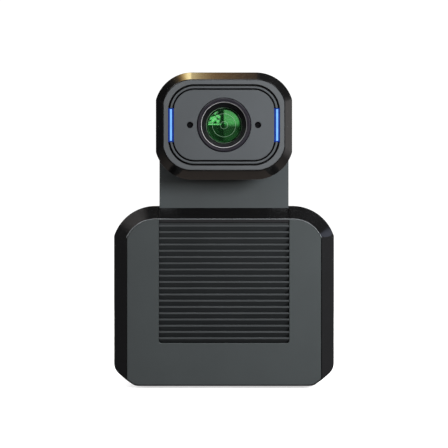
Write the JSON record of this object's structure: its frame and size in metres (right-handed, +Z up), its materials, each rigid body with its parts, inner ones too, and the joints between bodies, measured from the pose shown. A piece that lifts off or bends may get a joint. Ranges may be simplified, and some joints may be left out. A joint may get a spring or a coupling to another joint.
{
  "type": "ptz conference camera",
  "caption": "Desk camera: a box-shaped base with a louvred centre panel, a flat neck and a tilting rounded head with a zoom lens between two blue light bars.",
  "frame": {"origin": "mouth of the tripod thread in the underside of the base, with the base's flat bottom at z = 0", "axes": "+X to the right as seen from the front, -Y to the front where the lens looks, +Z up"},
  "size_m": [0.142, 0.1177, 0.2011],
  "materials": {
    "case_gloss": "gloss black moulded case",
    "face_grey": "fine-textured graphite face",
    "grille_grey": "satin moulded louvres",
    "case_rear": "fine-textured dark case",
    "neck_satin": "satin graphite neck",
    "panel_steel": "black powder-coated steel",
    "sheet_steel": "zinc-plated sheet steel",
    "screw_steel": "blackened steel",
    "foot_rubber": "matt black rubber",
    "insert_brass": "turned brass",
    "board_green": "green solder mask",
    "sink_alu": "black-anodised extrusion",
    "chip_black": "moulded package",
    "jack_metal": "nickel-plated shell",
    "jack_plastic": "black moulded",
    "button_grey": "satin cap",
    "bush_polymer": "acetal",
    "pinion_brass": "cut brass",
    "motor_can": "plated can",
    "cable_flat": "polyimide flat cable",
    "window_dark": "dark window",
    "light_blue": "lit blue light guide",
    "trunnion_alu": "machined",
    "trim_dark": "satin dark ring",
    "lens_black": "anti-reflection black",
    "lens_glass": "coated glass",
    "magnet": "nickel-plated magnet"
  },
  "bodies": {
    "base": {"base_front_shell": "case_gloss", "base_face_plate": "face_grey", "bevel_centre_strip": "case_gloss", "rib_grille": "grille_grey", "base_rear_shell": "case_rear", "rear_io_panel": "panel_steel", "case_screws": "screw_steel", "rubber_feet": "foot_rubber", "tripod_insert": "insert_brass", "bracket_inserts": "insert_brass", "chassis_frame": "sheet_steel", "main_board": "board_green", "frame_screws": "screw_steel", "heat_sink": "sink_alu", "processor_chip": "chip_black", "io_board": "board_green", "ethernet_jack": "jack_metal", "usb_jack": "jack_metal", "hdmi_jack": "jack_metal", "dc_power_jack": "jack_plastic", "reset_switch": "chip_black", "yoke_bracket": "sheet_steel", "neck_front_cover": "neck_satin", "neck_rear_cover": "neck_satin", "neck_screws": "screw_steel", "tilt_bushes": "bush_polymer", "tilt_motor": "motor_can", "ribbon_cable": "cable_flat"},
    "reset_cap": {"reset_button": "button_grey"},
    "idler": {"tilt_idler_gear": "bush_polymer"},
    "motor_pinion": {"tilt_pinion": "pinion_brass"},
    "head": {"tilt_sector_gear": "bush_polymer", "head_bezel": "case_gloss", "face_rim": "face_grey", "face_ring": "face_grey", "face_panel": "face_grey", "sensor_windows": "window_dark", "led_light_bars": "light_blue", "led_boards": "board_green", "head_mid_shell": "case_rear", "head_rear_cover": "case_rear", "head_screws": "screw_steel", "trunnions": "trunnion_alu", "trunnion_clip": "sheet_steel", "lens_trim_ring": "trim_dark", "lens_front_cell": "lens_black", "front_element": "lens_glass", "lens_barrel": "lens_black", "lens_mount_plate": "trunnion_alu", "zoom_motor": "motor_can", "focus_magnet": "magnet", "rear_lens_cell": "lens_black", "image_sensor": "chip_black", "sensor_board": "board_green"},
    "zoom_cam": {"zoom_cam_ring": "lens_black"},
    "zoom_drive": {"zoom_pinion": "pinion_brass"},
    "zoom_group": {"zoom_carriage": "lens_black", "zoom_element": "lens_glass"},
    "focus_group": {"focus_carriage": "lens_black", "focus_element": "lens_glass"}
  },
  "joints": [
    {"name": "head_tilt", "type": "hinge", "parent": "base", "child": "head", "pos_m": [0, -0.012, 0.1657], "axis": [1, 0, 0], "range_deg": [-20, 20]},
    {"name": "idler_spin", "type": "hinge", "parent": "base", "child": "idler", "pos_m": [0.0376, -0.012, 0.1357], "axis": [1, 0, 0], "range_deg": [-56, 56]},
    {"name": "motor_spin", "type": "hinge", "parent": "base", "child": "motor_pinion", "pos_m": [0.0376, -0.012, 0.1227], "axis": [1, 0, 0], "range_deg": [-89, 89]},
    {"name": "zoom_cam_turn", "type": "hinge", "parent": "head", "child": "zoom_cam", "pos_m": [0, -0.041, 0.1657], "axis": [0, -1, 0], "range_deg": [0, 40]},
    {"name": "zoom_motor_turn", "type": "hinge", "parent": "head", "child": "zoom_drive", "pos_m": [0.022, -0.035, 0.1657], "axis": [0, -1, 0], "range_deg": [-144, 0]},
    {"name": "zoom_slide", "type": "slide", "parent": "head", "child": "zoom_group", "axis": [0, 1, 0], "range_m": [0, 0.00801]},
    {"name": "focus_slide", "type": "slide", "parent": "head", "child": "focus_group", "axis": [0, 1, 0], "range_m": [0, 0.004]},
    {"name": "reset_press", "type": "slide", "parent": "base", "child": "reset_cap", "axis": [0, -1, 0], "range_m": [0, 0.001], "stiffness_N_per_m": 400, "springref_m": -0.0005}
  ],
  "couplings": [
    {"joint": "idler_spin", "follows": "head_tilt", "ratio": -2.75},
    {"joint": "motor_spin", "follows": "head_tilt", "ratio": 4.4},
    {"joint": "zoom_motor_turn", "follows": "zoom_cam_turn", "ratio": -3.5833},
    {"joint": "zoom_slide", "follows": "zoom_cam_turn", "m_per_rad": 0.011459}
  ]
}
